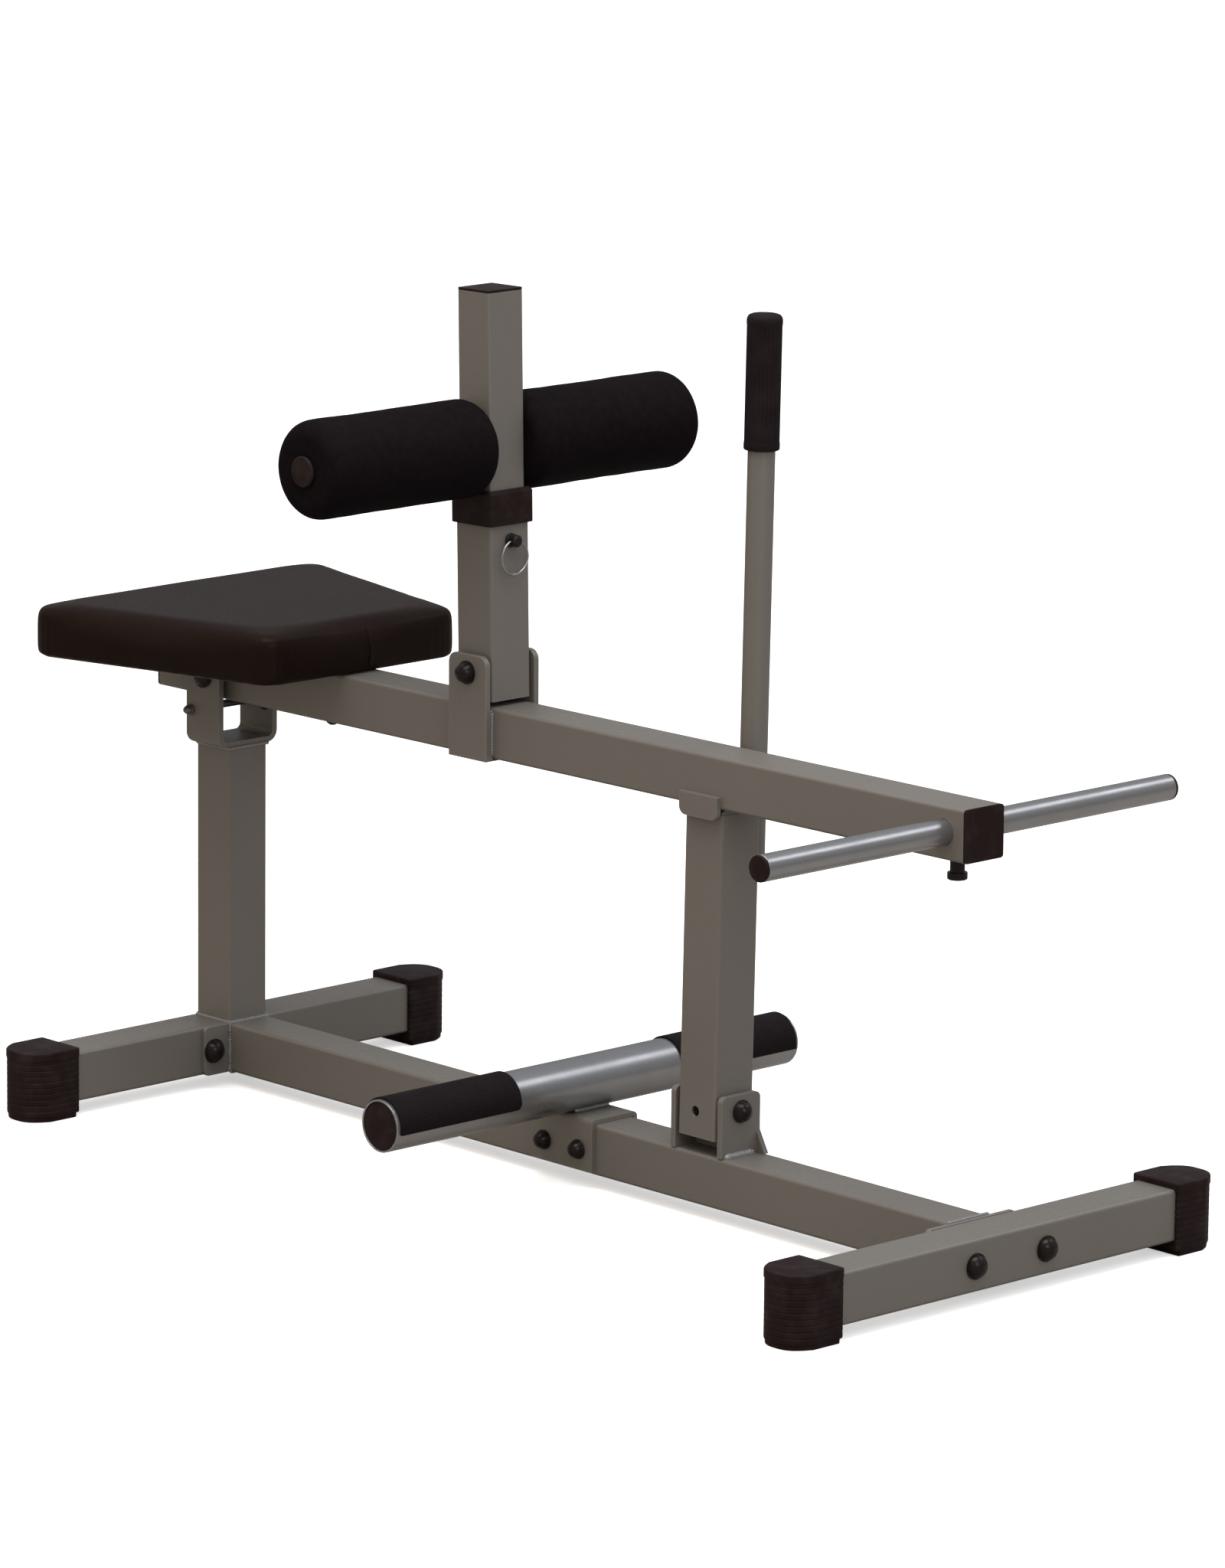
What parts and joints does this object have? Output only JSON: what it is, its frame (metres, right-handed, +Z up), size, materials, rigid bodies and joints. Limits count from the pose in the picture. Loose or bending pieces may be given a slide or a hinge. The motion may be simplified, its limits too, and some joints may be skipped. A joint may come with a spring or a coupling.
{
  "type": "seated calf raise bench",
  "caption": "Seated calf-raise bench: square-tube base, seat and foam thigh rollers on a lever with a plate horn, foot bar, and a swing-out support post with hand lever.",
  "frame": {"origin": "bottom centre of the bounding box at rest, on the floor under the rail", "axes": "+X runs along the main rail from the seat to the weight horn, +Y is the sitter's left, +Z is up"},
  "size_m": [1.1928, 0.555, 0.8545],
  "materials": {
    "frame_paint": "satin silver-grey metallic paint",
    "bright_steel": "bright plated steel",
    "zinc_steel": "zinc plated steel",
    "black_steel": "black oxide steel",
    "moulded_plastic": "matte black moulded plastic",
    "bolt_cap": "glossy black cap over a steel bolt",
    "nylon": "dark nylon bush",
    "grip_rubber": "matte black rubber",
    "foam": "matte black closed-cell foam",
    "vinyl": "dark brown-black upholstery vinyl with a soft sheen",
    "plywood": "plain board"
  },
  "bodies": {
    "base": {"rear_stabilizer": "frame_paint", "front_stabilizer": "frame_paint", "main_rail": "frame_paint", "rear_flange": "frame_paint", "front_flange": "frame_paint", "boot_rear_left": "moulded_plastic", "boot_rear_right": "moulded_plastic", "boot_front_left": "moulded_plastic", "boot_front_right": "moulded_plastic", "flange_bolt_rear_left": "bolt_cap", "flange_bolt_rear_right": "bolt_cap", "flange_bolt_front_left": "bolt_cap", "flange_bolt_front_right": "bolt_cap", "rear_upright": "frame_paint", "yoke": "frame_paint", "pivot_bolt": "bolt_cap", "pivot_nut": "bolt_cap", "stop_bolt": "zinc_steel", "foot_bar_saddle": "frame_paint", "foot_bar": "bright_steel", "foot_bar_cap_left": "moulded_plastic", "foot_bar_cap_right": "moulded_plastic", "foot_tape_left": "grip_rubber", "foot_tape_right": "grip_rubber", "saddle_bolt_rear": "bolt_cap", "saddle_bolt_front": "bolt_cap", "post_bracket": "frame_paint", "post_bolt": "bolt_cap", "post_nut": "bolt_cap"},
    "support": {"support_post": "frame_paint", "post_cap_plate": "frame_paint", "handle_rod": "frame_paint", "handle_grip": "grip_rubber"},
    "lever": {"lever_beam": "frame_paint", "beam_cap_rear": "moulded_plastic", "beam_cap_front": "moulded_plastic", "weight_horn": "bright_steel", "horn_cap_left": "moulded_plastic", "horn_cap_right": "moulded_plastic", "horn_lock_bolt": "bolt_cap", "pivot_bush_left": "nylon", "pivot_bush_right": "nylon", "seat_board": "plywood", "seat_pad": "vinyl", "seat_bolt_rear": "bolt_cap", "seat_bolt_front": "bolt_cap", "thigh_bracket": "frame_paint", "thigh_guide_tube": "frame_paint", "guide_collar": "moulded_plastic", "thigh_bolt": "bolt_cap", "thigh_nut": "bolt_cap"},
    "thigh_slide": {"slide_tube": "frame_paint", "slide_tube_cap": "moulded_plastic", "roller_bar": "bright_steel", "roller_plug_left": "moulded_plastic", "roller_plug_right": "moulded_plastic"},
    "left_roller": {"foam_roller_left": "foam"},
    "right_roller": {"foam_roller_right": "foam"},
    "pin": {"height_pin": "black_steel"},
    "ring": {"pull_ring": "bright_steel"}
  },
  "joints": [
    {"name": "lever_lift", "type": "hinge", "parent": "base", "child": "lever", "pos_m": [-0.50289, 0, 0.4175], "axis": [0, -1, 0], "range_deg": [0, 20]},
    {"name": "support_post_swing", "type": "hinge", "parent": "base", "child": "support", "pos_m": [0.19711, 0, 0.107], "axis": [-1, 0, 0], "range_deg": [0, 19]},
    {"name": "thigh_pad_height", "type": "slide", "parent": "lever", "child": "thigh_slide", "axis": [-0.0253, 0, 0.9997], "range_m": [0, 0.096]},
    {"name": "pin_pull", "type": "slide", "parent": "lever", "child": "pin", "axis": [0.9997, 0, 0.0253], "range_m": [0, 0.06]},
    {"name": "pin_ring_swing", "type": "hinge", "parent": "pin", "child": "ring", "pos_m": [-0.08858, 0, 0.60579], "axis": [0, -1, 0], "range_deg": [-6, 110]},
    {"name": "left_roller_spin", "type": "hinge", "parent": "thigh_slide", "child": "left_roller", "pos_m": [-0.12235, 0.13075, 0.69497], "axis": [0, 1, 0], "continuous": true},
    {"name": "right_roller_spin", "type": "hinge", "parent": "thigh_slide", "child": "right_roller", "pos_m": [-0.12235, -0.13075, 0.69497], "axis": [0, 1, 0], "continuous": true}
  ]
}
